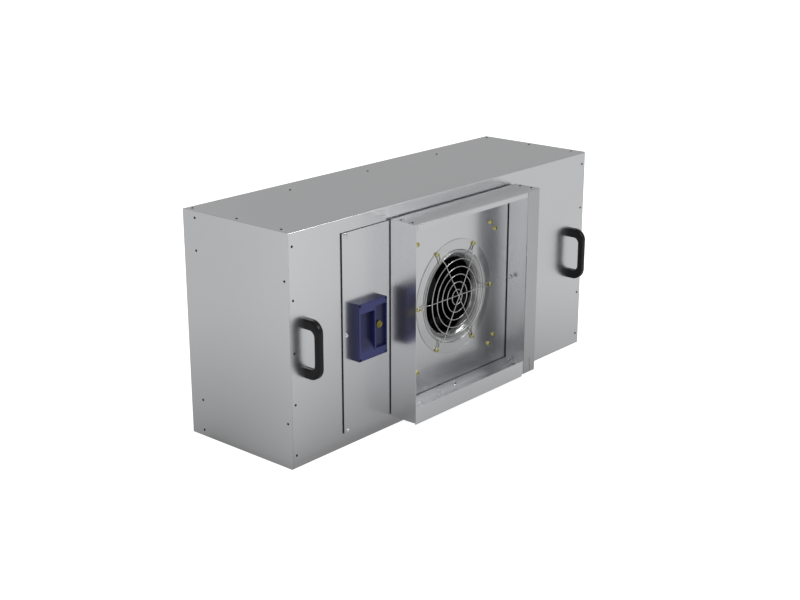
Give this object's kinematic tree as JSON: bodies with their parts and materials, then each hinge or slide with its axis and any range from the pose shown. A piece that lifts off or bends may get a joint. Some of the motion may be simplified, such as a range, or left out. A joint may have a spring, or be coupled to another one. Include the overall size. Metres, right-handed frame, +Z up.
{
  "type": "fan filter unit",
  "caption": "Fan filter unit in folded sheet metal: box housing, guarded round inlet in a square collar, turning impeller, pleated outlet filter, speed control and carry handles.",
  "frame": {"origin": "middle of the footprint on the floor, the unit standing on its long side", "axes": "+X along the inlet face, +Y from the inlet face to the outlet, +Z up"},
  "size_m": [1.177, 0.437, 0.571],
  "materials": {
    "sheet_metal": "satin zinc-aluminium coated sheet",
    "inner_steel": "galvanised sheet",
    "dark_rivet": "dark oxidised",
    "foam": "open-cell foam",
    "seal_rubber": "closed-cell rubber",
    "silver_screw": "bright zinc",
    "yellow_zinc": "yellow passivated zinc",
    "nozzle_metal": "spun, bright",
    "guard_wire": "bright nickel",
    "motor_cast": "die-cast, dark",
    "impeller_black": "black powder coat",
    "cable_sheath": "matte sheath",
    "rail_metal": "anodised",
    "filter_paper": "glass-fibre medium",
    "grille_paint": "white powder coat",
    "blue_plastic": "fine moulded texture",
    "black_screw": "black oxide",
    "board_green": "solder mask",
    "dial_plastic": "moulded",
    "yellow_plastic": "moulded",
    "handle_plastic": "moulded, slight sheen"
  },
  "bodies": {
    "housing": {"wrap_sheet": "sheet_metal", "end_panel_left": "sheet_metal", "end_panel_right": "sheet_metal", "handle_angle_left": "inner_steel", "handle_angle_right": "inner_steel", "shell_rivets": "dark_rivet", "filter_seat": "inner_steel", "liner_top": "foam", "liner_bottom": "foam", "liner_left": "foam", "liner_right": "foam", "access_gasket": "seal_rubber", "access_panel": "sheet_metal", "access_screws": "silver_screw", "collar_gasket": "seal_rubber", "collar_left": "sheet_metal", "collar_right": "sheet_metal", "collar_top": "sheet_metal", "collar_bottom": "sheet_metal", "collar_screws": "silver_screw", "collar_rivets": "dark_rivet", "inlet_nozzle": "nozzle_metal", "finger_guard": "guard_wire", "guard_screws": "yellow_zinc", "bracket_screws": "yellow_zinc", "fan_bracket": "inner_steel", "motor_stator": "motor_cast", "stator_screws": "silver_screw", "front_bearing": "silver_screw", "rear_bearing": "silver_screw", "motor_cable": "cable_sheath", "cable_grommet": "seal_rubber", "baffle_posts": "inner_steel", "flow_baffle": "inner_steel", "filter_gasket": "seal_rubber", "filter_rail_top": "rail_metal", "filter_rail_bottom": "rail_metal", "filter_rail_left": "rail_metal", "filter_rail_right": "rail_metal", "pleat_pack": "filter_paper", "outlet_grille": "grille_paint", "filter_clips": "inner_steel", "clip_screws": "silver_screw", "controller_base": "blue_plastic", "controller_lid": "blue_plastic", "controller_screws": "black_screw", "control_board": "board_green", "speed_dial": "dial_plastic", "handle_left": "handle_plastic", "handle_right": "handle_plastic", "handle_screws": "silver_screw"},
    "impeller": {"motor_rotor": "impeller_black", "motor_shaft": "silver_screw", "impeller_backplate": "impeller_black", "impeller_blades": "impeller_black", "impeller_shroud": "impeller_black", "impeller_screws": "silver_screw"},
    "knob": {"speed_knob": "yellow_plastic"}
  },
  "joints": [
    {"name": "impeller_spin", "type": "hinge", "parent": "housing", "child": "impeller", "pos_m": [0, 0, 0.285], "axis": [0, 1, 0], "continuous": true},
    {"name": "speed_knob_turn", "type": "hinge", "parent": "housing", "child": "knob", "pos_m": [-0.31, -0.1615, 0.293], "axis": [0, -1, 0], "range_deg": [-135, 135]}
  ]
}
